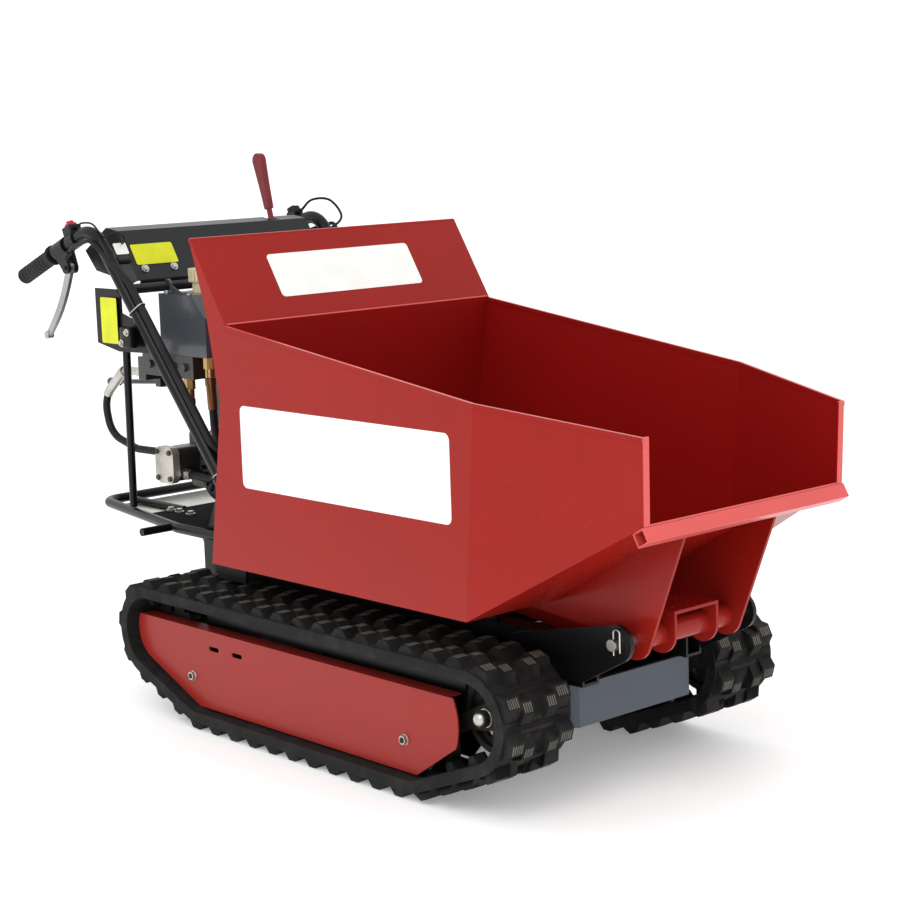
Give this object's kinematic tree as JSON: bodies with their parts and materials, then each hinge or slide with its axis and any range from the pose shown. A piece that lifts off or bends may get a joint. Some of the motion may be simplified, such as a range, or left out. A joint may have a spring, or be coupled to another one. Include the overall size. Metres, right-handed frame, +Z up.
{
  "type": "tracked power carrier",
  "caption": "Walk-behind rubber-track carrier with a hydraulic front-tipping skip, engine deck, and handlebars with steering levers.",
  "frame": {"origin": "on the ground, under the middle of the machine's length and width", "axes": "+X forward towards the skip's lip, +Y to the operator's left, +Z up"},
  "size_m": [1.7388, 0.676, 1.0916],
  "materials": {
    "skip_paint": "satin red powder coat",
    "lip_paint": "satin red powder coat, worn lighter",
    "zinc_steel": "zinc plated",
    "ram_paint": "black gloss paint",
    "chrome_rod": "hard chrome",
    "frame_paint": "black powder coat",
    "bumper_paint": "dark grey powder coat",
    "cover_paint": "satin red powder coat",
    "track_rubber": "moulded tread rubber",
    "wheel_steel": "bare steel with light rust",
    "gearbox_cast": "cast and painted grey",
    "engine_cast": "sand cast",
    "shroud_paint": "black paint",
    "recoil_plastic": "light grey moulding",
    "fuel_paint": "red gloss paint",
    "black_plastic": "moulded, fine grain",
    "muffler_steel": "heat stained",
    "console_paint": "dark grey powder coat",
    "filler_plastic": "pale moulding",
    "pump_metal": "black paint",
    "brass_fitting": "turned",
    "hose_rubber": "smooth hose cover",
    "grip_rubber": "ribbed grip",
    "lever_steel": "black paint",
    "stop_plastic": "red moulding",
    "gear_plastic": "maroon dipped"
  },
  "bodies": {
    "chassis": {"hinge_pin": "zinc_steel", "cover_nuts": "zinc_steel", "chassis_frame": "frame_paint", "track_frame_r": "frame_paint", "track_frame_l": "frame_paint", "handlebar_r": "frame_paint", "handlebar_l": "frame_paint", "guard_loop": "frame_paint", "guard_rod": "frame_paint", "side_plate": "frame_paint", "lever_brackets": "frame_paint", "front_bumper": "bumper_paint", "track_cover_r": "cover_paint", "track_cover_l": "cover_paint", "track_belt_r": "track_rubber", "track_belt_l": "track_rubber", "tensioner_r": "wheel_steel", "tensioner_l": "wheel_steel", "gearbox": "gearbox_cast", "engine_block": "engine_cast", "engine_shroud": "shroud_paint", "belt_guard": "shroud_paint", "recoil_starter": "recoil_plastic", "fuel_tank": "fuel_paint", "air_cleaner": "black_plastic", "control_bases": "black_plastic", "muffler": "muffler_steel", "console": "console_paint", "oil_tank": "console_paint", "tank_filler": "filler_plastic", "gear_pump": "pump_metal", "control_valve": "pump_metal", "hose_fittings": "brass_fitting", "hydraulic_hoses": "hose_rubber", "control_cables": "hose_rubber", "grips": "grip_rubber"},
    "skip": {"skip_shell": "skip_paint", "skip_lip": "lip_paint", "hinge_plates": "skip_paint", "hinge_yoke": "skip_paint"},
    "ram_barrel": {"ram_barrel": "ram_paint"},
    "ram_rod": {"ram_rod": "chrome_rod"},
    "sprocket_r": {"sprocket_r": "wheel_steel"},
    "sprocket_l": {"sprocket_l": "wheel_steel"},
    "idler_r": {"idler_r": "wheel_steel"},
    "idler_l": {"idler_l": "wheel_steel"},
    "roller_r1": {"roller_r1": "wheel_steel"},
    "roller_r2": {"roller_r2": "wheel_steel"},
    "roller_r3": {"roller_r3": "wheel_steel"},
    "roller_r4": {"roller_r4": "wheel_steel"},
    "roller_l1": {"roller_l1": "wheel_steel"},
    "roller_l2": {"roller_l2": "wheel_steel"},
    "roller_l3": {"roller_l3": "wheel_steel"},
    "roller_l4": {"roller_l4": "wheel_steel"},
    "steering_lever_r": {"steering_lever_r": "lever_steel"},
    "steering_lever_l": {"steering_lever_l": "lever_steel"},
    "stop_button": {"stop_button": "stop_plastic"},
    "throttle_lever": {"throttle_lever": "black_plastic"},
    "gear_lever": {"gear_lever": "gear_plastic"},
    "tip_lever": {"tip_lever": "lever_steel"}
  },
  "joints": [
    {"name": "skip_tip", "type": "hinge", "parent": "chassis", "child": "skip", "pos_m": [0.70987, 0, 0.297], "axis": [0, 1, 0], "range_deg": [0, 70]},
    {"name": "ram_swing", "type": "hinge", "parent": "chassis", "child": "ram_barrel", "pos_m": [-0.03813, 0, 0.17], "axis": [0, -1, 0], "range_deg": [-0.5, 9]},
    {"name": "ram_slide", "type": "slide", "parent": "ram_barrel", "child": "ram_rod", "axis": [0.9825, 0, 0.186], "range_m": [-0.001, 0.0905]},
    {"name": "sprocket_r_turn", "type": "hinge", "parent": "chassis", "child": "sprocket_r", "pos_m": [-0.39913, -0.2605, 0.167], "axis": [0, 1, 0], "continuous": true},
    {"name": "idler_r_turn", "type": "hinge", "parent": "chassis", "child": "idler_r", "pos_m": [0.53387, -0.2605, 0.167], "axis": [0, 1, 0], "continuous": true},
    {"name": "roller_r1_turn", "type": "hinge", "parent": "chassis", "child": "roller_r1", "pos_m": [-0.24713, -0.2605, 0.0785], "axis": [0, 1, 0], "continuous": true},
    {"name": "roller_r2_turn", "type": "hinge", "parent": "chassis", "child": "roller_r2", "pos_m": [-0.03746, -0.2605, 0.0785], "axis": [0, 1, 0], "continuous": true},
    {"name": "roller_r3_turn", "type": "hinge", "parent": "chassis", "child": "roller_r3", "pos_m": [0.1722, -0.2605, 0.0785], "axis": [0, 1, 0], "continuous": true},
    {"name": "roller_r4_turn", "type": "hinge", "parent": "chassis", "child": "roller_r4", "pos_m": [0.38187, -0.2605, 0.0785], "axis": [0, 1, 0], "continuous": true},
    {"name": "sprocket_l_turn", "type": "hinge", "parent": "chassis", "child": "sprocket_l", "pos_m": [-0.39913, 0.2605, 0.167], "axis": [0, 1, 0], "continuous": true},
    {"name": "idler_l_turn", "type": "hinge", "parent": "chassis", "child": "idler_l", "pos_m": [0.53387, 0.2605, 0.167], "axis": [0, 1, 0], "continuous": true},
    {"name": "roller_l1_turn", "type": "hinge", "parent": "chassis", "child": "roller_l1", "pos_m": [-0.24713, 0.2605, 0.0785], "axis": [0, 1, 0], "continuous": true},
    {"name": "roller_l2_turn", "type": "hinge", "parent": "chassis", "child": "roller_l2", "pos_m": [-0.03746, 0.2605, 0.0785], "axis": [0, 1, 0], "continuous": true},
    {"name": "roller_l3_turn", "type": "hinge", "parent": "chassis", "child": "roller_l3", "pos_m": [0.1722, 0.2605, 0.0785], "axis": [0, 1, 0], "continuous": true},
    {"name": "roller_l4_turn", "type": "hinge", "parent": "chassis", "child": "roller_l4", "pos_m": [0.38187, 0.2605, 0.0785], "axis": [0, 1, 0], "continuous": true},
    {"name": "steering_r_squeeze", "type": "hinge", "parent": "chassis", "child": "steering_lever_r", "pos_m": [-0.68326, -0.286, 0.8766], "axis": [0, 1, 0], "range_deg": [0, 28], "stiffness_Nm_per_rad": 4, "springref_deg": -20.05},
    {"name": "steering_l_squeeze", "type": "hinge", "parent": "chassis", "child": "steering_lever_l", "pos_m": [-0.68326, 0.286, 0.8766], "axis": [0, 1, 0], "range_deg": [0, 28], "stiffness_Nm_per_rad": 4, "springref_deg": -20.05},
    {"name": "stop_press", "type": "slide", "parent": "chassis", "child": "stop_button", "axis": [0.3667, 0, -0.9303], "range_m": [0, 0.003], "stiffness_N_per_m": 600, "springref_m": -0.002},
    {"name": "throttle_turn", "type": "hinge", "parent": "chassis", "child": "throttle_lever", "pos_m": [-0.67143, 0.286, 0.96113], "axis": [-0.3667, 0, 0.9303], "range_deg": [-30, 40]},
    {"name": "gear_shift", "type": "hinge", "parent": "chassis", "child": "gear_lever", "pos_m": [-0.57613, 0.165, 0.88], "axis": [0, 1, 0], "range_deg": [-16, 8]},
    {"name": "tip_work", "type": "hinge", "parent": "chassis", "child": "tip_lever", "pos_m": [-0.58613, -0.138, 0.633], "axis": [0, 1, 0], "range_deg": [-12, 12], "stiffness_Nm_per_rad": 12}
  ],
  "couplings": [
    {"joint": "ram_swing", "follows": "skip_tip", "ratio": 0.12135},
    {"joint": "ram_slide", "follows": "skip_tip", "m_per_rad": 0.073213},
    {"joint": "idler_r_turn", "follows": "sprocket_r_turn", "ratio": 1},
    {"joint": "roller_r1_turn", "follows": "sprocket_r_turn", "ratio": 1.6471},
    {"joint": "roller_r2_turn", "follows": "sprocket_r_turn", "ratio": 1.6471},
    {"joint": "roller_r3_turn", "follows": "sprocket_r_turn", "ratio": 1.6471},
    {"joint": "roller_r4_turn", "follows": "sprocket_r_turn", "ratio": 1.6471},
    {"joint": "idler_l_turn", "follows": "sprocket_l_turn", "ratio": 1},
    {"joint": "roller_l1_turn", "follows": "sprocket_l_turn", "ratio": 1.6471},
    {"joint": "roller_l2_turn", "follows": "sprocket_l_turn", "ratio": 1.6471},
    {"joint": "roller_l3_turn", "follows": "sprocket_l_turn", "ratio": 1.6471},
    {"joint": "roller_l4_turn", "follows": "sprocket_l_turn", "ratio": 1.6471}
  ]
}
